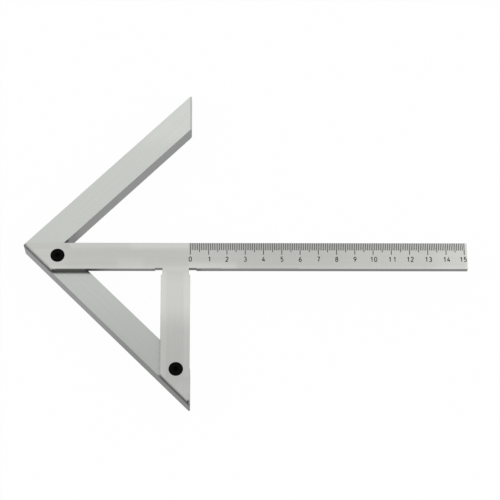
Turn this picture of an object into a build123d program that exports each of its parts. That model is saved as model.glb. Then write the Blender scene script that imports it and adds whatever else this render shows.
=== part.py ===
from build123d import *
import math
import os

# Centre square, 150 x 130 mm: a V-shaped steel stock that seats on round work, and a thin T-shaped
# plate screwed flat on its face. The plate's graduated edge halves the V's right angle, and its leg
# runs at a right angle from the blade to the end of the lower arm.
# Frame: +X along the graduated edge, +Y towards the upper arm, +Z out of the graduated face.
# The origin is the V's inner corner on the stock's back face. Sizes are in millimetres.

# Stock
arm_length = 130.0  # outer face of an arm, from the sharp outer corner to the cut end
arm_width = 14.8
stock_thickness = 12.0
apex_radius = 0.6  # rounding of the outer corner
arm_tip_flat = 0.8  # flat on the sharp point of each arm
end_chamfer = 0.8  # front and back edges of the cut ends
stock_edge_break = 0.12  # the other front and back edges

# Plate
plate_thickness = 3.5
blade_width = 15.2
leg_width = 15.9
leg_inset = 0.2  # from the plane of the arms' cut ends to the leg's right edge
cut_inset = 0.4  # from the lower arm's outer face to the plate's slanted cuts
plate_tip_radius = 1.0  # rounding of the plate's two sharp corners
plate_corner_radius = 2.5  # rounding of the plate's two blunt corners
blade_end_margin = 1.55  # past the last mark
plate_edge_break = 0.1
blade_relief = 0.5  # undercut into the blade where it meets the leg
leg_relief = 0.75  # undercut into the leg there
relief_reach = 3.4  # how far an undercut runs along either edge
relief_radius = 0.35

# Graduation, from a zero in line with the leg's right edge
mark_count = 150
mark_pitch = 1.0
marks_per_half = 5
marks_per_number = 10
mark_width = 0.43
mark_depth = 0.06
short_mark = 4.3
half_mark = 5.4
long_mark = 6.9

# Countersunk socket screws, M4 x 12, and their holes
screw_diameter = 4.0
head_diameter = 7.6
head_rim = 0.1
screw_end_chamfer = 0.5
socket_across_flats = 2.5
socket_depth = 1.4
clearance_hole_diameter = 4.5
countersink_angle = 90.0
drill_point_angle = 118.0
thread_clearance = 0.05  # round the screw, in place of the thread
screw_end_gap = 1.5
hole_floor = 2.0  # from a tapped hole's full depth to the stock's back face
screw_from_edge = 7.35  # from the graduated edge, and from the leg's right edge
screw_from_outer_face = 8.45  # from the lower arm's outer face

# Worked out from the sizes above
diagonal = math.sqrt(2)
apex_x = -arm_width * diagonal
end_x = apex_x + arm_length / diagonal
arm_tip_y = end_x - apex_x - arm_tip_flat
zero_x = end_x - leg_inset
leg_left_x = zero_x - leg_width
blade_end_x = zero_x + mark_count * mark_pitch + blade_end_margin
cut_sum = apex_x + cut_inset * diagonal  # x + y along the slanted cuts
blade_corner = (cut_sum + blade_width, -blade_width)
leg_corner = (leg_left_x, cut_sum - leg_left_x)
blade_tip = (cut_sum, 0)
leg_tip = (zero_x, cut_sum - zero_x)
face_z = stock_thickness + plate_thickness
countersink_slope = math.tan(math.radians(countersink_angle / 2))
screw_radius = screw_diameter / 2
head_radius = head_diameter / 2
head_depth = head_rim + (head_radius - screw_radius) / countersink_slope
countersink_radius = head_radius + head_rim * countersink_slope
tapped_radius = screw_radius + thread_clearance
tapped_depth = stock_thickness - hole_floor
drill_point = tapped_radius / math.tan(math.radians(drill_point_angle / 2))
screw_length = plate_thickness + tapped_depth - screw_end_gap
screw_sum = apex_x + screw_from_outer_face * diagonal  # x + y of both screws
apex_screw_place = (screw_sum + screw_from_edge, -screw_from_edge)
leg_screw_place = (zero_x - screw_from_edge, screw_sum - zero_x + screw_from_edge)
screw_places = (apex_screw_place, leg_screw_place)


def upright_section(place):
    """The plane of an outline to revolve about the upright line at place: radius, then height."""
    return Plane(origin=(*place, 0), x_dir=(1, 0, 0), z_dir=(0, -1, 0))


def upright_axis(place):
    return Axis(origin=(*place, 0), direction=(0, 0, 1))


def countersunk_screw(place):
    """A screw with its head's top level with the plate's face."""
    with BuildPart() as screw:
        with BuildSketch(upright_section(place)):
            with BuildLine():
                Polyline(
                    (0, face_z),
                    (head_radius, face_z),
                    (head_radius, face_z - head_rim),
                    (screw_radius, face_z - head_depth),
                    (screw_radius, face_z - screw_length + screw_end_chamfer),
                    (screw_radius - screw_end_chamfer, face_z - screw_length),
                    (0, face_z - screw_length),
                    close=True,
                )
            make_face()
        revolve(axis=upright_axis(place))
        with BuildSketch(Plane.XY.offset(face_z)):
            with Locations(place):
                RegularPolygon(socket_across_flats / 2, side_count=6, major_radius=False)
        extrude(amount=-socket_depth, mode=Mode.SUBTRACT)
    return screw


# Stock: half of the V's outline, mirrored about the line of the graduated edge
with BuildPart() as v_stock:
    with BuildSketch():
        with BuildLine():
            Polyline(
                (apex_x, 0),
                (end_x - arm_tip_flat, arm_tip_y),
                (end_x, arm_tip_y),
                (end_x, end_x),
                (0, 0),
                close=True,
            )
        make_face()
        mirror(about=Plane.XZ)
        fillet(vertices().sort_by(Axis.X)[0], apex_radius)
    extrude(amount=stock_thickness)
    rim = faces().filter_by(Axis.Z).edges()
    chamfer(rim - rim.group_by(Axis.X)[-1], stock_edge_break)
    chamfer(faces().filter_by(Axis.Z).edges().group_by(Axis.X)[-1], end_chamfer)
    for place in screw_places:
        with BuildSketch(upright_section(place)):
            with BuildLine():
                Polyline(
                    (0, stock_thickness),
                    (tapped_radius, stock_thickness),
                    (tapped_radius, stock_thickness - tapped_depth),
                    (0, stock_thickness - tapped_depth - drill_point),
                    close=True,
                )
            make_face()
        revolve(axis=upright_axis(place), mode=Mode.SUBTRACT)

# Plate: blade and leg in one outline, with undercuts where they meet
with BuildPart() as t_plate:
    with BuildSketch(Plane.XY.offset(stock_thickness)):
        with BuildLine():
            Polyline(
                blade_tip,
                blade_corner,
                (leg_left_x, -blade_width),
                leg_corner,
                leg_tip,
                (zero_x, -blade_width),
                (blade_end_x, -blade_width),
                (blade_end_x, 0),
                close=True,
            )
        make_face()
        for corner, radius in (
            (blade_tip, plate_tip_radius),
            (leg_tip, plate_tip_radius),
            (blade_corner, plate_corner_radius),
            (leg_corner, plate_corner_radius),
        ):
            fillet(vertices().sort_by_distance(corner)[0], radius)
        for corner_x, side in ((leg_left_x + leg_relief, Align.MAX), (zero_x - leg_relief, Align.MIN)):
            with Locations((corner_x, blade_relief - blade_width)):
                RectangleRounded(
                    leg_relief + relief_reach,
                    blade_relief + relief_reach,
                    relief_radius,
                    align=(side, Align.MAX),
                    mode=Mode.SUBTRACT,
                )
    extrude(amount=plate_thickness)
    chamfer(faces().sort_by(Axis.Z)[-1].edges(), plate_edge_break)
    with Locations(*[(*place, face_z) for place in screw_places]):
        CounterSinkHole(
            clearance_hole_diameter / 2,
            countersink_radius,
            depth=plate_thickness,
            counter_sink_angle=countersink_angle,
        )
    marks = range(mark_count + 1)
    long_marks = [mark for mark in marks if mark % marks_per_number == 0]
    half_marks = [mark for mark in marks if mark % marks_per_half == 0 and mark not in long_marks]
    short_marks = [mark for mark in marks if mark % marks_per_half != 0 and mark not in long_marks]
    with BuildSketch(Plane.XY.offset(face_z)):
        for length, group in ((long_mark, long_marks), (half_mark, half_marks), (short_mark, short_marks)):
            with Locations(*[(zero_x + mark * mark_pitch, 0) for mark in group]):
                Rectangle(mark_width, length, align=(Align.CENTER, Align.MAX))
    extrude(amount=-mark_depth, mode=Mode.SUBTRACT)

apex_screw = countersunk_screw(apex_screw_place)
leg_screw = countersunk_screw(leg_screw_place)

v_stock.part.label = "v_stock"
t_plate.part.label = "t_plate"
apex_screw.part.label = "apex_screw"
leg_screw.part.label = "leg_screw"

os.makedirs("parts", exist_ok=True)
export_step(v_stock.part, "parts/v_stock.step")
export_step(t_plate.part, "parts/t_plate.step")
export_step(apex_screw.part, "parts/apex_screw.step")
export_step(leg_screw.part, "parts/leg_screw.step")
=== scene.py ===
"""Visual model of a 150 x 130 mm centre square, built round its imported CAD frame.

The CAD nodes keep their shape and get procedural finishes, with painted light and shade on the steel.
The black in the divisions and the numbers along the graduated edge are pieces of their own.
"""

import logging
import math
from dataclasses import dataclass
from enum import Enum

import bmesh
import bpy
from mathutils import Euler, Matrix, Vector


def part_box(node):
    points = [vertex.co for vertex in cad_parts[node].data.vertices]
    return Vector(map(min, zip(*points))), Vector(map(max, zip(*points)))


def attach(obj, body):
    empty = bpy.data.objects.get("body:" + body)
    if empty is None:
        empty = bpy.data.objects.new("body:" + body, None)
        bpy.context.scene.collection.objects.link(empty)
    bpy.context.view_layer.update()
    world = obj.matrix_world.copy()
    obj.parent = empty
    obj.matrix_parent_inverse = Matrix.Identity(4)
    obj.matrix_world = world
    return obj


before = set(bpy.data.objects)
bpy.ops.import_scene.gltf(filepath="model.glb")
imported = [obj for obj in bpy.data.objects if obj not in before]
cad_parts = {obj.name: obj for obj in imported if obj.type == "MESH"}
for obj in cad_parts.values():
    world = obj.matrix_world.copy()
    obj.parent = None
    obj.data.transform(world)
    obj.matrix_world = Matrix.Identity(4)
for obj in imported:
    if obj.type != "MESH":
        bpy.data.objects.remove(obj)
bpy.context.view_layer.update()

LOG = logging.getLogger("centre_square")
MM = 0.001
BODY = "root"

Colour = tuple[float, float, float]
Place = tuple[float, float, float]
Point = tuple[float, float]
Line = tuple[Point, ...]
Band = tuple[float, float]
Source = bpy.types.NodeSocket | float | Colour | Vector


class Node(Enum):
    """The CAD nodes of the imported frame."""

    STOCK = "v_stock"
    PLATE = "t_plate"
    APEX_SCREW = "apex_screw"
    LEG_SCREW = "leg_screw"


class Slot(Enum):
    """The record's material slot of the plate's steel."""

    PLATE = "plate_steel"


class Lay(Enum):
    """How a piece's grinding marks run."""

    ARMS = "along each arm of the stock"
    PLATE = "along the blade and along the leg"


class Surface(Enum):
    """Which surfaces a patch lies on."""

    FACES = "the flat faces at the front and back"
    SIDES = "the sides round them"


class ShaderTree:
    """Adds and links nodes in one shader tree."""

    def __init__(self, tree: bpy.types.NodeTree) -> None:
        """Empties the tree and keeps it."""
        tree.nodes.clear()
        self.tree = tree

    def add(self, kind: str, inputs: dict[str, Source] | None = None, **settings: object) -> bpy.types.Node:
        """Adds a node.

        Args:
            kind: the node's type, such as ShaderNodeMath.
            inputs: what its inputs get, by name.
            settings: its properties, by name.

        Returns:
            The new node.
        """
        node = self.tree.nodes.new(kind)
        for name, value in settings.items():
            setattr(node, name, value)
        for name, source in (inputs or {}).items():
            self.feed(node.inputs[name], source)
        return node

    def feed(self, socket: bpy.types.NodeSocket, source: Source) -> None:
        """Gives an input its value.

        Args:
            socket: the input.
            source: an output to link, or a plain number, colour or vector.
        """
        if isinstance(source, bpy.types.NodeSocket):
            self.tree.links.new(source, socket)
        elif socket.type == "RGBA":
            socket.default_value = (*source, 1.0)
        else:
            socket.default_value = source

    def maths(self, operation: str, *values: Source) -> bpy.types.NodeSocket:
        """Adds a Math node.

        Args:
            operation: the node's operation.
            values: its inputs in order, each an output or a number.

        Returns:
            The node's output.
        """
        node = self.add("ShaderNodeMath", operation=operation)
        for socket, value in zip(node.inputs, values):
            self.feed(socket, value)
        return node.outputs[0]

    def vectors(self, operation: str, *values: Source) -> bpy.types.NodeSocket:
        """Adds a Vector Math node.

        Args:
            operation: the node's operation.
            values: its inputs in order. An output of one number stands for all three axes.

        Returns:
            The node's vector, or the number that a dot product gives.
        """
        node = self.add("ShaderNodeVectorMath", operation=operation)
        for socket, value in zip(node.inputs, values):
            self.feed(socket, value)
        return node.outputs["Value" if operation == "DOT_PRODUCT" else "Vector"]

    def axes(self, vector: bpy.types.NodeSocket) -> list[bpy.types.NodeSocket]:
        """Takes a vector apart into its X, Y and Z."""
        return list(self.add("ShaderNodeSeparateXYZ", {"Vector": vector}).outputs)

    def ramp(self, value: Source, band: Band, start: float, end: float) -> bpy.types.NodeSocket:
        """Carries a value smoothly from one range to another.

        Args:
            value: the value to read.
            band: where its range starts and ends.
            start: the result at the band's start and below.
            end: the result at its end and above.

        Returns:
            The result.
        """
        node = self.add("ShaderNodeMapRange", interpolation_type="SMOOTHSTEP")
        for socket, number in zip(node.inputs, (value, *band, start, end)):
            self.feed(socket, number)
        return node.outputs["Result"]

    def blend(self, factor: Source, first: Source, second: Source) -> bpy.types.NodeSocket:
        """Mixes two colours.

        Args:
            factor: 0 for the first, 1 for the second.
            first: a colour.
            second: a colour.

        Returns:
            The mixed colour.
        """
        node = self.add("ShaderNodeMix", {"Factor": factor}, data_type="RGBA")
        # The node has a pair of inputs for each type of data, and the colours are its third pair.
        self.feed(node.inputs[6], first)
        self.feed(node.inputs[7], second)
        return node.outputs[2]

    def noise(self, place: bpy.types.NodeSocket, scale: float, octaves: float) -> bpy.types.NodeSocket:
        """Adds a noise from 0 to 1, read at a place, with so many finer layers."""
        inputs = {"Vector": place, "Scale": scale, "Detail": octaves}
        return self.add("ShaderNodeTexNoise", inputs).outputs["Fac"]

    def drawn_noise(self, place: bpy.types.NodeSocket, pitch: bpy.types.NodeSocket, stretch: float,
                    octaves: float) -> bpy.types.NodeSocket:
        """Adds a noise whose grain is as wide as its pitch, and drawn out so many times along X."""
        squeezed = self.vectors("MULTIPLY", place, (1.0 / stretch, 1.0, 1.0))
        return self.noise(self.vectors("DIVIDE", squeezed, pitch), 1.0, octaves)


def new_material(name: str) -> tuple[bpy.types.Material, ShaderTree]:
    """Makes a material with nothing in its tree.

    Args:
        name: the material's name.

    Returns:
        The material and its tree.
    """
    material = bpy.data.materials.new(name)
    material.use_nodes = True
    return material, ShaderTree(material.node_tree)


def new_group(name: str, inputs: dict[str, str], outputs: dict[str, str]) -> bpy.types.NodeTree:
    """Makes an empty shader node group.

    Args:
        name: the group's name.
        inputs: socket types by input name.
        outputs: socket types by output name.

    Returns:
        The group.
    """
    group = bpy.data.node_groups.new(name, "ShaderNodeTree")
    for direction, sockets in (("INPUT", inputs), ("OUTPUT", outputs)):
        for socket_name, socket_type in sockets.items():
            group.interface.new_socket(socket_name, in_out=direction, socket_type=socket_type)
    return group


VECTOR = "NodeSocketVector"
NUMBER = "NodeSocketFloat"
LINE_STRETCH = 60.0  # how many times longer a fine line is than wide
STREAK_STRETCH = 45.0
CLOUDS_PER_METRE = 45.0


def grinding_group() -> bpy.types.NodeTree:
    """Makes the grinding marks: fine lines, broad streaks and a soft cloud.

    Returns:
        A group that reads a place whose X runs along the marks.
    """
    group = new_group(
        "grinding",
        {"Place": VECTOR, "Line Pitch": NUMBER, "Streak Pitch": NUMBER},
        {"Lines": NUMBER, "Streaks": NUMBER, "Cloud": NUMBER},
    )
    nodes = ShaderTree(group)
    given = nodes.add("NodeGroupInput").outputs
    marks = {
        "Lines": nodes.drawn_noise(given["Place"], given["Line Pitch"], LINE_STRETCH, octaves=2.0),
        "Streaks": nodes.drawn_noise(given["Place"], given["Streak Pitch"], STREAK_STRETCH, octaves=1.0),
        "Cloud": nodes.noise(given["Place"], CLOUDS_PER_METRE, octaves=2.0),
    }
    nodes.add("NodeGroupOutput", marks)
    return group


def soft_box_group() -> bpy.types.NodeTree:
    """Makes the mask of a box with soft edges, in a frame that is turned about Z.

    Returns:
        A group that gives 1 inside the box and 0 outside it. Between them is a smooth step, as wide
        as the softness, with its middle on the box's side.
    """
    group = new_group(
        "soft_box",
        {"Place": VECTOR, "Turn": NUMBER, "Centre": VECTOR, "Half Size": VECTOR, "Softness": NUMBER},
        {"Mask": NUMBER},
    )
    nodes = ShaderTree(group)
    given = nodes.add("NodeGroupInput").outputs
    turn = {"Vector": given["Place"], "Angle": given["Turn"]}
    turned = nodes.add("ShaderNodeVectorRotate", turn, rotation_type="Z_AXIS", invert=True).outputs[0]
    distance = nodes.vectors("ABSOLUTE", nodes.vectors("SUBTRACT", turned, given["Centre"]))
    outside = nodes.vectors("SUBTRACT", distance, given["Half Size"])
    steps = nodes.vectors("DIVIDE", outside, given["Softness"])
    mask_x, mask_y, mask_z = [nodes.ramp(step, (-0.5, 0.5), 1.0, 0.0) for step in nodes.axes(steps)]
    mask = nodes.maths("MULTIPLY", nodes.maths("MULTIPLY", mask_x, mask_y), mask_z)
    nodes.add("NodeGroupOutput", {"Mask": mask})
    return group


@dataclass(frozen=True)
class PaintedLightPatch:
    """A soft-edged box of painted light or shade, where the finish is painted a little lighter or darker.

    Its corners and softness are in millimetres, in a frame turned about Z by so many degrees.
    """

    name: str
    low: Place
    high: Place
    softness: float
    gain: float
    surface: Surface
    turn: float = 0.0


@dataclass(frozen=True)
class SatinSteel:
    """Ground steel with a satin chrome finish.

    Its flat faces are finer ground than the sides round them. The sides' darker colour is painted shade, for
    the shaded floor near their foot that they reflect, and the grey glancing tint darkens their reflections
    for the same cause.
    """

    name: str
    lay: Lay
    face: Colour
    side: Colour
    face_roughness: float
    side_roughness: float
    patches: tuple[PaintedLightPatch, ...]
    # The grey glancing tint darkens glancing reflections, which the sides mostly show, as painted shade.
    glancing_tint: Colour = (0.6, 0.6, 0.6)
    side_to_face: Band = (0.3, 0.65)  # the normal's upright part, from a side to a flat face
    blade_to_leg: Band = (-18.0 * MM, -14.0 * MM)
    line_pitch: float = 0.16 * MM
    line_depth: float = 0.0006 * MM
    line_band: Band = (0.3, 0.7)
    roughness_spread: float = 0.03  # what the lines add and take away
    streak_pitch: float = 1.3 * MM
    streak_share: float = 0.6  # of the shade, and the cloud has the rest
    shade_band: Band = (0.25, 0.75)
    shade_spread: float = 0.02  # what the shade adds and takes away

    def along_marks(self, nodes: ShaderTree) -> bpy.types.NodeSocket:
        """Turns the object's coordinates so that X runs along the grinding marks.

        Args:
            nodes: the material's tree.

        Returns:
            The turned place.
        """
        x, y, z = nodes.axes(nodes.add("ShaderNodeTexCoord").outputs["Object"])
        if self.lay is Lay.ARMS:
            slant = math.sqrt(0.5)  # each arm is at 45 degrees to X
            outward = nodes.maths("ABSOLUTE", y)
            along = nodes.maths("MULTIPLY", nodes.maths("ADD", x, outward), slant)
            across = nodes.maths("MULTIPLY", nodes.maths("SUBTRACT", x, outward), slant)
        else:
            on_leg = nodes.ramp(y, self.blade_to_leg, 1.0, 0.0)
            on_blade = nodes.maths("SUBTRACT", 1.0, on_leg)
            along = nodes.maths("MULTIPLY_ADD", x, on_blade, nodes.maths("MULTIPLY", y, on_leg))
            across = nodes.maths("MULTIPLY_ADD", y, on_blade, nodes.maths("MULTIPLY", x, on_leg))
        return nodes.add("ShaderNodeCombineXYZ", {"X": along, "Y": across, "Z": z}).outputs[0]

    def with_painted_light(self, nodes: ShaderTree, soft_box: bpy.types.NodeTree, gain: bpy.types.NodeSocket,
                flat: bpy.types.NodeSocket) -> bpy.types.NodeSocket:
        """Adds the painted light and shade of the boxes to the finish's lightness.

        Args:
            nodes: the material's tree.
            soft_box: the group of the soft box.
            gain: the lightness without them.
            flat: 1 on the flat faces and 0 on the sides.

        Returns:
            The lightness with them.
        """
        place = nodes.add("ShaderNodeTexCoord").outputs["Object"]
        lies_on = {Surface.FACES: flat, Surface.SIDES: nodes.maths("SUBTRACT", 1.0, flat)}
        for patch in self.patches:
            low, high = Vector(patch.low) * MM, Vector(patch.high) * MM
            inputs = {
                "Place": place,
                "Turn": math.radians(patch.turn),
                "Centre": (low + high) / 2,
                "Half Size": (high - low) / 2,
                "Softness": patch.softness * MM,
            }
            box = nodes.add("ShaderNodeGroup", inputs, node_tree=soft_box, label=patch.name)
            mask = nodes.maths("MULTIPLY", box.outputs["Mask"], lies_on[patch.surface])
            gain = nodes.maths("MULTIPLY", gain, nodes.maths("MULTIPLY_ADD", mask, patch.gain - 1.0, 1.0))
        return gain

    def material(self, grinding: bpy.types.NodeTree, soft_box: bpy.types.NodeTree) -> bpy.types.Material:
        """Makes the material.

        Args:
            grinding: the group of grinding marks.
            soft_box: the group of the soft box.

        Returns:
            The material.
        """
        made, nodes = new_material(self.name)
        inputs = {
            "Place": self.along_marks(nodes),
            "Line Pitch": self.line_pitch,
            "Streak Pitch": self.streak_pitch,
        }
        marks = nodes.add("ShaderNodeGroup", inputs, node_tree=grinding).outputs
        normal = nodes.axes(nodes.add("ShaderNodeTexCoord").outputs["Normal"])
        flat = nodes.ramp(nodes.maths("ABSOLUTE", normal[2]), self.side_to_face, 0.0, 1.0)

        cloud = nodes.maths("MULTIPLY", marks["Cloud"], 1.0 - self.streak_share)
        shade = nodes.maths("MULTIPLY_ADD", marks["Streaks"], self.streak_share, cloud)
        gain = nodes.ramp(shade, self.shade_band, 1.0 - self.shade_spread, 1.0 + self.shade_spread)
        # The boxes paint light and shade into the lightness.
        gain = self.with_painted_light(nodes, soft_box, gain, flat)

        from_side = self.face_roughness - self.side_roughness
        ground = nodes.maths("MULTIPLY_ADD", flat, from_side, self.side_roughness)
        lined = nodes.ramp(marks["Lines"], self.line_band, -self.roughness_spread, self.roughness_spread)
        relief = {"Height": marks["Lines"], "Distance": self.line_depth, "Strength": 1.0}
        bump = nodes.add("ShaderNodeBump", relief)

        # The sides' darker colour, blended in here, is painted shade.
        shader = nodes.add("ShaderNodeBsdfPrincipled", {
            "Base Color": nodes.vectors("MULTIPLY", nodes.blend(flat, self.side, self.face), gain),
            "Metallic": 1.0,
            "Specular Tint": self.glancing_tint,
            "Roughness": nodes.maths("ADD", ground, lined),
            "Normal": bump.outputs[0],
        })
        nodes.add("ShaderNodeOutputMaterial", {"Surface": shader.outputs[0]})
        return made


@dataclass(frozen=True)
class Blacking:
    """A dark finish with little shine: black oxide on the screws, or the ink in the marks."""

    name: str
    dark: Colour
    light: Colour
    roughness: float
    specular: float
    speckle_size: float
    colour_band: Band = (0.35, 0.65)
    roughness_band: Band = (0.3, 0.7)
    roughness_spread: float = 0.05  # what the speckle adds and takes away

    def material(self) -> bpy.types.Material:
        """Makes the material.

        Returns:
            The material.
        """
        made, nodes = new_material(self.name)
        place = nodes.add("ShaderNodeTexCoord").outputs["Object"]
        speckle = nodes.noise(place, 1.0 / self.speckle_size, octaves=2.0)
        lightness = nodes.ramp(speckle, self.colour_band, 0.0, 1.0)
        glossy, dull = self.roughness - self.roughness_spread, self.roughness + self.roughness_spread
        shader = nodes.add("ShaderNodeBsdfPrincipled", {
            "Base Color": nodes.blend(lightness, self.dark, self.light),
            "Roughness": nodes.ramp(speckle, self.roughness_band, glossy, dull),
            "Specular IOR Level": self.specular,
        })
        nodes.add("ShaderNodeOutputMaterial", {"Surface": shader.outputs[0]})
        return made


def dress(piece: bpy.types.Object, material: bpy.types.Material) -> None:
    """Puts a material in a CAD node's slots, or in a new slot of a piece that has none.

    Args:
        piece: the object.
        material: its material.
    """
    if not piece.material_slots:
        piece.data.materials.append(material)
    for slot in piece.material_slots:
        slot.material = material


def make_piece(name: str, form: bmesh.types.BMesh) -> bpy.types.Object:
    """Turns a bmesh into an object in the scene, and frees it.

    Args:
        name: the piece's name.
        form: its shape, in place.

    Returns:
        The object.
    """
    mesh = bpy.data.meshes.new(name)
    form.to_mesh(mesh)
    form.free()
    piece = bpy.data.objects.new(name, mesh)
    bpy.context.scene.collection.objects.link(piece)
    return piece


BOW_STEP = 20.0  # degrees between the points of a bow


def bow(centre: Point, radii: Point, start: float, end: float) -> Line:
    """Gives the points of a digit's bow.

    Args:
        centre: its centre.
        radii: its half width and half height.
        start: the angle where it starts, in degrees.
        end: the angle where it ends.

    Returns:
        Its points.
    """
    steps = round(abs(end - start) / BOW_STEP)
    turns = [math.radians(start + (end - start) * step / steps) for step in range(steps + 1)]
    return tuple((centre[0] + radii[0] * math.cos(turn), centre[1] + radii[1] * math.sin(turn))
                 for turn in turns)


# Each digit as the middle lines of its strokes, one unit high, with the middle of its foot at 0, 0
ZERO = (
    bow((0.0, 0.7), (0.27, 0.3), 0.0, 180.0) + bow((0.0, 0.3), (0.27, 0.3), 180.0, 360.0) + ((0.27, 0.7),),
)
SIX = (((0.13, 1.0), (-0.08, 0.72), (-0.25, 0.4)), bow((0.0, 0.28), (0.27, 0.28), 0.0, 360.0))
DIGITS = {
    "0": ZERO,
    "1": (((-0.2, 0.77), (0.04, 0.98)), ((0.04, 1.04), (0.04, 0.0))),
    "2": (bow((0.0, 0.74), (0.26, 0.26), 170.0, -35.0) + ((-0.26, 0.0), (0.28, 0.0)),),
    "3": (bow((-0.02, 0.77), (0.23, 0.23), 150.0, -90.0), bow((-0.02, 0.27), (0.28, 0.27), 90.0, -150.0)),
    "4": (((0.06, 1.0), (-0.29, 0.27), (0.3, 0.27)), ((0.12, 0.55), (0.12, 0.0))),
    "5": (((0.23, 1.0), (-0.18, 1.0), (-0.21, 0.55)) + bow((0.0, 0.31), (0.27, 0.31), 125.0, -145.0),),
    "6": SIX,
    "7": (((-0.27, 1.0), (0.27, 1.0), (-0.06, 0.0)),),
    "8": (bow((0.0, 0.77), (0.22, 0.23), 0.0, 360.0), bow((0.0, 0.27), (0.28, 0.27), 0.0, 360.0)),
    "9": tuple(tuple((-x, 1.0 - y) for x, y in line) for line in SIX),
}
DIGIT_WIDTH = 0.56
SAME_POINT = 0.001 * MM  # points of a stroke that are nearer than this are one


def stand_stroke(form: bmesh.types.BMesh, points: list[Vector], height: float) -> None:
    """Adds a thin upright wall along a stroke's middle line.

    Args:
        form: the bmesh to add to.
        points: the line along the wall's foot, which is closed if its last point is its first.
        height: the wall's height.
    """
    foot = [form.verts.new(point) for point in points]
    line = [form.edges.new(pair) for pair in zip(foot, foot[1:])]
    wall = bmesh.ops.extrude_edge_only(form, edges=line)["geom"]
    top = [part for part in wall if isinstance(part, bmesh.types.BMVert)]
    bmesh.ops.translate(form, verts=top, vec=(0.0, 0.0, height))
    bmesh.ops.remove_doubles(form, verts=foot + top, dist=SAME_POINT)


@dataclass(frozen=True)
class Graduation:
    """The black in the divisions and the numbers under them."""

    count: int = 150
    pitch: float = 1.0 * MM
    per_half: int = 5
    per_number: int = 10
    zero_from_blade_end: float = 151.55 * MM
    short: float = 4.3 * MM
    half: float = 5.4 * MM
    long: float = 6.9 * MM
    width: float = 0.43 * MM
    groove: float = 0.06 * MM
    ink_below_face: float = 0.01 * MM
    from_edge: float = 0.1 * MM
    number_height: float = 3.1 * MM
    number_top: float = 8.0 * MM
    number_narrowing: float = 0.88
    number_stroke: float = 0.48 * MM
    number_margin: float = 0.25 * MM
    digit_pitch: float = 2.6 * MM
    one_shift: float = 0.5 * MM
    number_proud: float = 0.004 * MM
    number_sunk: float = 0.02 * MM

    @property
    def zero(self) -> Vector:
        """The place of the zero on the graduated edge, at the plate's face."""
        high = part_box(Node.PLATE.value)[1]
        return Vector((high.x - self.zero_from_blade_end, high.y, high.z))

    def length(self, mark: int) -> float:
        """Gives the length of a mark.

        Args:
            mark: its number, in divisions from zero.

        Returns:
            The length.
        """
        if mark % self.per_number == 0:
            return self.long
        return self.half if mark % self.per_half == 0 else self.short

    def middle(self, mark: int, width: float) -> float:
        """Gives how far from the zero a number's middle is: under its mark, or short of the blade's end."""
        last_place = self.zero_from_blade_end - self.number_margin - width / 2
        return min(mark * self.pitch, last_place)

    def build_ink(self) -> bpy.types.Object:
        """Makes the black in the divisions, a bar in each groove.

        Returns:
            One object that holds the bars.
        """
        bars = bmesh.new()
        thickness = self.groove - self.ink_below_face
        depth = self.ink_below_face + thickness / 2
        for mark in range(self.count + 1):
            reach = self.length(mark) - self.from_edge
            centre = self.zero + Vector((mark * self.pitch, -self.from_edge - reach / 2, -depth))
            size = Matrix.Diagonal((self.width, reach, thickness, 1.0))
            bmesh.ops.create_cube(bars, size=1.0, matrix=Matrix.Translation(centre) @ size)
        return make_piece("division_ink", bars)

    def build_numbers(self) -> bpy.types.Object:
        """Makes the numbers, one under each long mark, from strokes in the manner of an engraver.

        Returns:
            One object that holds the numbers.
        """
        numbers = bmesh.new()
        height = self.number_height - self.number_stroke
        width = height * self.number_narrowing
        base = -self.number_top - self.number_height + self.number_stroke / 2
        for mark in range(0, self.count + 1, self.per_number):
            digits = str(mark // self.per_number)
            spread = (len(digits) - 1) * self.digit_pitch
            middle = self.middle(mark, spread + width * DIGIT_WIDTH + self.number_stroke)
            for index, digit in enumerate(digits):
                across = middle - spread / 2 + index * self.digit_pitch
                if digit == "1":
                    across += self.one_shift
                foot = self.zero + Vector((across, base, -self.number_sunk))
                for line in DIGITS[digit]:
                    points = [foot + Vector((x * width, y * height, 0.0)) for x, y in line]
                    stand_stroke(numbers, points, self.number_sunk + self.number_proud)
        piece = make_piece("scale_numbers", numbers)
        stroke = piece.modifiers.new("stroke", "SOLIDIFY")
        stroke.thickness = self.number_stroke
        stroke.offset = 0.0
        stroke.use_even_offset = True
        return piece


# Painted light and shade on the stock: painted shade in the inner corner, under and beside the plate's cuts
# and tips and below the blade, and painted light on lit ends.
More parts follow.
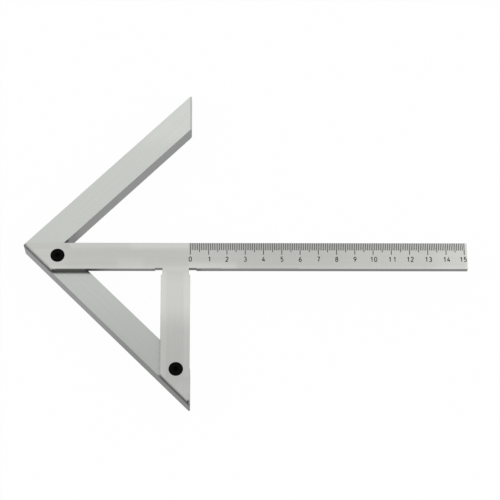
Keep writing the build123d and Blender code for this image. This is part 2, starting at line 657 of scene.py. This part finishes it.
STOCK_PAINTED_LIGHT = (
    PaintedLightPatch("inner corner", (-8.0, -8.0, -2.0), (9.5, 9.5, 20.0), 8.0, 0.75, Surface.SIDES),
    PaintedLightPatch("inner corner under the plate", (-4.0, -4.0, 8.5), (3.85, 3.85, 22.0), 1.8, 0.1, Surface.SIDES),
    PaintedLightPatch("outer face's end", (-40.0, -180.0, -40.0), (20.0, -55.0, 50.0), 40.0, 0.79, Surface.SIDES, 45.0),
    PaintedLightPatch("outer face by the apex", (-24.0, -7.0, -20.0), (-6.0, 30.0, 30.0), 10.0, 1.1, Surface.SIDES, 45.0),
    PaintedLightPatch("under the blade's cut", (-18.0, -7.1, 10.0), (-11.0, 19.0, 16.0), 4.0, 0.47, Surface.SIDES, 45.0),
    PaintedLightPatch("under the leg's cut", (-18.0, -120.0, 9.9), (-11.0, -92.0, 16.0), 4.2, 0.31, Surface.SIDES, 45.0),
    PaintedLightPatch("by the blade's cut", (-15.3, -7.1, 11.0), (-14.35, 15.0, 13.0), 0.2, 0.46, Surface.FACES, 45.0),
    PaintedLightPatch("by the leg's cut", (-15.3, -116.0, 11.0), (-14.35, -90.9, 13.0), 0.2, 0.46, Surface.FACES, 45.0),
    PaintedLightPatch("by the blade's tip", (-22.0, -3.0, 11.0), (-18.6, 0.9, 13.0), 0.5, 0.5, Surface.FACES),
    PaintedLightPatch("by the leg's tip", (69.4, -94.0, 10.0), (72.0, -88.9, 13.0), 0.5, 0.5, Surface.FACES),
    PaintedLightPatch("lower arm", (-100.0, -160.0, -30.0), (150.0, -8.0, 40.0), 16.0, 0.94, Surface.FACES),
    PaintedLightPatch("lower arm's end", (-100.0, -160.0, -30.0), (150.0, -42.0, 40.0), 50.0, 0.87, Surface.FACES),
    PaintedLightPatch("upper arm's end", (-100.0, 62.0, -30.0), (150.0, 160.0, 40.0), 14.0, 1.075, Surface.FACES),
    PaintedLightPatch("upper arm's cut edge", (70.1, 67.0, 10.0), (72.0, 95.0, 13.0), 0.3, 0.83, Surface.FACES),
    PaintedLightPatch("below the blade", (-20.0, -16.6, 11.0), (24.0, -14.0, 13.0), 1.4, 0.38, Surface.FACES),
)
# Painted light and shade on the plate: painted light along lit borders and sides, and painted shade at the
# rims, blunt corners and undercuts.
PLATE_PAINTED_LIGHT = (
    PaintedLightPatch("leg's top", (40.0, -44.0, 0.0), (86.0, -17.0, 30.0), 18.0, 1.18, Surface.FACES),
    PaintedLightPatch("leg's lower half", (40.0, -160.0, 0.0), (86.0, -50.0, 30.0), 30.0, 0.95, Surface.FACES),
    PaintedLightPatch("leg's end", (40.0, -100.0, 0.0), (86.0, -80.0, 30.0), 8.0, 1.07, Surface.FACES),
    PaintedLightPatch("leg's tip", (69.0, -96.0, 14.0), (72.0, -86.0, 17.0), 3.0, 0.93, Surface.FACES),
    PaintedLightPatch("leg's left border", (50.0, -100.0, 0.0), (58.0, -17.0, 30.0), 2.0, 1.07, Surface.FACES),
    PaintedLightPatch("leg's left rim", (54.4, -76.0, 14.0), (55.3, -55.5, 17.0), 0.3, 0.8, Surface.FACES),
    PaintedLightPatch("leg's right border", (67.5, -77.0, 0.0), (75.0, -17.0, 30.0), 2.0, 1.07, Surface.FACES),
    PaintedLightPatch("blade's lower border", (-40.0, -16.5, 11.0), (223.0, -13.6, 16.0), 2.2, 1.08, Surface.FACES),
    PaintedLightPatch("lower border by the leg", (70.0, -16.5, 11.0), (96.0, -11.5, 20.0), 3.0, 1.1, Surface.FACES),
    PaintedLightPatch("lower rim", (74.0, -16.0, 14.0), (130.0, -14.7, 17.0), 0.4, 0.8, Surface.FACES),
    PaintedLightPatch("lower rim by the leg", (74.0, -16.0, 14.0), (88.0, -14.7, 17.0), 0.4, 0.8, Surface.FACES),
    PaintedLightPatch("blade's upper border", (-40.0, -3.0, 11.0), (70.0, 2.0, 18.0), 2.0, 1.09, Surface.FACES),
    PaintedLightPatch("upper border over the leg", (38.0, -4.0, 11.0), (70.0, 4.0, 20.0), 3.0, 1.06, Surface.FACES),
    PaintedLightPatch("upper border on the stock", (-40.0, -3.4, 14.0), (5.0, 2.0, 17.0), 1.6, 0.885, Surface.FACES),
    PaintedLightPatch("blade by the apex", (-60.0, -40.0, -10.0), (2.0, 20.0, 40.0), 14.0, 1.08, Surface.FACES),
    PaintedLightPatch("blade over the window", (31.0, -16.0, 11.0), (45.0, -9.0, 18.0), 5.0, 1.07, Surface.FACES),
    PaintedLightPatch("blade under the numbers", (96.0, -13.0, 0.0), (156.0, 10.0, 30.0), 16.0, 0.945, Surface.FACES),
    PaintedLightPatch("blade's end", (205.0, -30.0, 0.0), (240.0, 20.0, 30.0), 12.0, 1.07, Surface.FACES),
    PaintedLightPatch("blade's end border", (221.4, -30.0, 5.0), (230.0, 10.0, 25.0), 0.6, 1.09, Surface.FACES),
    PaintedLightPatch("blade cut's rim", (-16.0, -7.1, 11.0), (-13.75, 15.5, 18.0), 0.4, 0.85, Surface.FACES, 45.0),
    PaintedLightPatch("leg cut's rim", (-16.0, -116.0, 11.0), (-13.75, -92.0, 18.0), 0.4, 0.94, Surface.FACES, 45.0),
    PaintedLightPatch("both cuts", (-40.0, -140.0, 5.0), (-14.0, 20.0, 20.0), 0.5, 1.26, Surface.SIDES, 45.0),
    PaintedLightPatch("blade's lower side", (-13.0, -18.0, 10.0), (226.0, -14.0, 18.0), 2.0, 0.82, Surface.SIDES),
    PaintedLightPatch("lower side on the stock", (-6.5, -18.0, 10.0), (13.5, -14.0, 18.0), 3.0, 2.2, Surface.SIDES),
    PaintedLightPatch("blade's blunt corner", (-9.0, -17.5, 10.0), (-3.6, -13.0, 17.0), 2.0, 0.62, Surface.SIDES),
    PaintedLightPatch("leg's blunt corner", (53.0, -79.0, 10.0), (57.5, -74.0, 17.0), 2.5, 0.7, Surface.SIDES),
    PaintedLightPatch("left undercut", (50.0, -18.0, 10.0), (56.0, -12.0, 16.0), 1.0, 0.88, Surface.SIDES),
    PaintedLightPatch("right undercut", (69.0, -18.0, 10.0), (77.0, -12.0, 16.0), 2.0, 0.68, Surface.SIDES),
)
# Each steel's side colour is darker than its face colour as painted shade.
STOCK_STEEL = SatinSteel(
    name="stock_satin_steel",
    lay=Lay.ARMS,
    face=(0.584, 0.605, 0.575),
    side=(0.370, 0.376, 0.371),
    face_roughness=0.3,
    side_roughness=0.36,
    patches=STOCK_PAINTED_LIGHT,
)
PLATE_STEEL = SatinSteel(
    name="plate_satin_steel",
    lay=Lay.PLATE,
    face=(0.544, 0.548, 0.526),
    side=(0.325, 0.331, 0.315),
    face_roughness=0.28,
    side_roughness=0.36,
    patches=PLATE_PAINTED_LIGHT,
)
SCREW_BLACK = Blacking(
    name="screw_black_oxide",
    dark=(0.001, 0.001, 0.0008),
    light=(0.0025, 0.0026, 0.002),
    roughness=0.55,
    specular=0.04,
    speckle_size=0.2 * MM,
)
INK_BLACK = Blacking(
    name="division_black",
    dark=(0.02, 0.02, 0.02),
    light=(0.05, 0.05, 0.05),
    roughness=0.7,
    specular=0.2,
    speckle_size=0.4 * MM,
)


@dataclass(frozen=True)
class CentreSquare:
    """The whole tool: its CAD nodes dressed, and the graduation's ink and numbers."""

    graduation: Graduation = Graduation()

    def dress_nodes(self) -> None:
        """Gives each CAD node its finish."""
        groups = grinding_group(), soft_box_group()
        screw = SCREW_BLACK.material()
        materials = {
            Node.STOCK: STOCK_STEEL.material(*groups),
            Node.PLATE: PLATE_STEEL.material(*groups),
            Node.APEX_SCREW: screw,
            Node.LEG_SCREW: screw,
        }
        for node, material in materials.items():
            dress(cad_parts[node.value], material)
            LOG.info("%s dressed in %s", node.value, material.name)

    def build_marks(self) -> None:
        """Adds the black in the divisions and the numbers."""
        ink = INK_BLACK.material()
        for piece in (self.graduation.build_ink(), self.graduation.build_numbers()):
            dress(piece, ink)
            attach(piece, BODY)
            LOG.info("%s has %d faces", piece.name, len(piece.data.polygons))

    def build(self) -> None:
        """Builds the tool."""
        self.dress_nodes()
        self.build_marks()


@dataclass(frozen=True)
class Lamp:
    """A square soft box."""

    name: str
    place: Place
    target: Place
    size: float
    power: float

    def build(self) -> None:
        """Adds the lamp to the scene."""
        light = bpy.data.lights.new(self.name, "AREA")
        light.shape = "SQUARE"
        light.size = self.size
        light.energy = self.power
        holder = bpy.data.objects.new(self.name, light)
        holder.location = self.place
        view = Vector(self.target) - Vector(self.place)
        holder.rotation_euler = view.to_track_quat("-Z", "Y").to_euler()
        bpy.context.scene.collection.objects.link(holder)


@dataclass(frozen=True)
class Studio:
    """The floor, the light and the camera.

    The room gives an even light. Its near and left walls and its horizon are a little darker than
    the rest and its far wall is brighter, and a grey card hangs where the flat faces reflect it.
    Each band is where one of these fades into the rest, measured along the direction of view.
    """

    floor_size: float = 12.0
    floor_colour: Colour = (0.93, 0.93, 0.93)
    floor_glow: float = 0.97
    room: float = 1.0
    card: float = 0.55
    card_towards: Place = (0.015, -0.37, 0.93)
    card_band: Band = (0.59, 0.98)
    near_wall: float = 0.85
    far_wall: float = 1.1
    near_to_far: Band = (-0.6, 0.45)
    left_wall: float = 0.85
    left_band: Band = (-0.9, -0.15)
    horizon: float = 0.8
    horizon_band: Band = (0.0, 0.6)
    lamps: tuple[Lamp, ...] = (
        Lamp(name="left_box", place=(-1.1, -0.2, 0.9), target=(0.08, 0.0, 0.0), size=0.8, power=3.0),
        Lamp(name="right_box", place=(1.3, -0.2, 0.9), target=(0.08, 0.0, 0.0), size=0.8, power=3.0),
        Lamp(name="far_right_box", place=(0.8, 0.55, 1.4), target=(0.2, 0.0, 0.0), size=0.6, power=0.5),
    )
    camera_place: Place = (84.84 * MM, -375.4 * MM, 943.52 * MM)
    camera_turn: Place = (21.804, -1.0639, 0.0809)  # degrees about X, Y and Z
    camera_clip: Band = (0.01, 50.0)
    focal_pixels: float = 1827.36
    photo_pixels: float = 500.0
    sensor: float = 36.0

    def build_floor(self) -> None:
        """Adds the pale floor, which looks white but takes the object's shadow."""
        form = bmesh.new()
        bmesh.ops.create_grid(form, x_segments=1, y_segments=1, size=self.floor_size / 2)
        floor = make_piece("floor", form)
        made, nodes = new_material("pale_floor")
        paint = nodes.add("ShaderNodeBsdfDiffuse", {"Color": self.floor_colour})
        glow = nodes.add("ShaderNodeEmission")
        ray = nodes.add("ShaderNodeLightPath").outputs
        seen = nodes.maths("MAXIMUM", ray["Is Camera Ray"], ray["Is Glossy Ray"])
        seen = nodes.maths("MAXIMUM", seen, ray["Is Transmission Ray"])
        mixed = nodes.add("ShaderNodeMixShader", {"Fac": nodes.maths("MULTIPLY", seen, self.floor_glow)})
        nodes.feed(mixed.inputs[1], paint.outputs[0])
        nodes.feed(mixed.inputs[2], glow.outputs[0])
        nodes.add("ShaderNodeOutputMaterial", {"Surface": mixed.outputs[0]})
        dress(floor, made)

    def build_room(self) -> None:
        """Lights the scene with the pale room and its grey card."""
        world = bpy.data.worlds.new("room")
        world.use_nodes = True
        bpy.context.scene.world = world
        nodes = ShaderTree(world.node_tree)
        direction = nodes.add("ShaderNodeTexCoord").outputs["Generated"]
        x, y, z = nodes.axes(direction)
        towards = nodes.vectors("DOT_PRODUCT", direction, Vector(self.card_towards).normalized())
        card = nodes.ramp(towards, self.card_band, self.room, self.card)
        wall = nodes.ramp(y, self.near_to_far, self.near_wall, self.far_wall)
        height = nodes.ramp(z, self.horizon_band, self.horizon, 1.0)
        left = nodes.ramp(x, self.left_band, self.left_wall, 1.0)
        level = nodes.maths("MULTIPLY", nodes.maths("MULTIPLY", card, wall),
                            nodes.maths("MULTIPLY", height, left))
        background = nodes.add("ShaderNodeBackground", {"Color": (1.0, 1.0, 1.0), "Strength": level})
        nodes.add("ShaderNodeOutputWorld", {"Surface": background.outputs[0]})

    def build_lamps(self) -> None:
        """Adds the soft boxes, low enough to miss the flat faces' reflections."""
        for lamp in self.lamps:
            lamp.build()

    def build_camera(self) -> None:
        """Adds the camera, at the photograph's viewing angle."""
        lens = bpy.data.cameras.new("camera")
        lens.sensor_width = self.sensor
        lens.lens = self.focal_pixels / self.photo_pixels * self.sensor
        lens.clip_start, lens.clip_end = self.camera_clip
        holder = bpy.data.objects.new("camera", lens)
        holder.location = self.camera_place
        holder.rotation_mode = "ZYX"
        holder.rotation_euler = Euler([math.radians(turn) for turn in self.camera_turn], "ZYX")
        bpy.context.scene.collection.objects.link(holder)
        bpy.context.scene.camera = holder

    def build(self) -> None:
        """Builds the whole studio."""
        self.build_floor()
        self.build_room()
        self.build_lamps()
        self.build_camera()
        bpy.context.scene.view_settings.view_transform = "Standard"


def main() -> None:
    """Builds the tool and its studio."""
    logging.basicConfig(level=logging.INFO, format="%(name)s: %(message)s")
    CentreSquare().build()
    Studio().build()


if __name__ == "__main__":
    main()
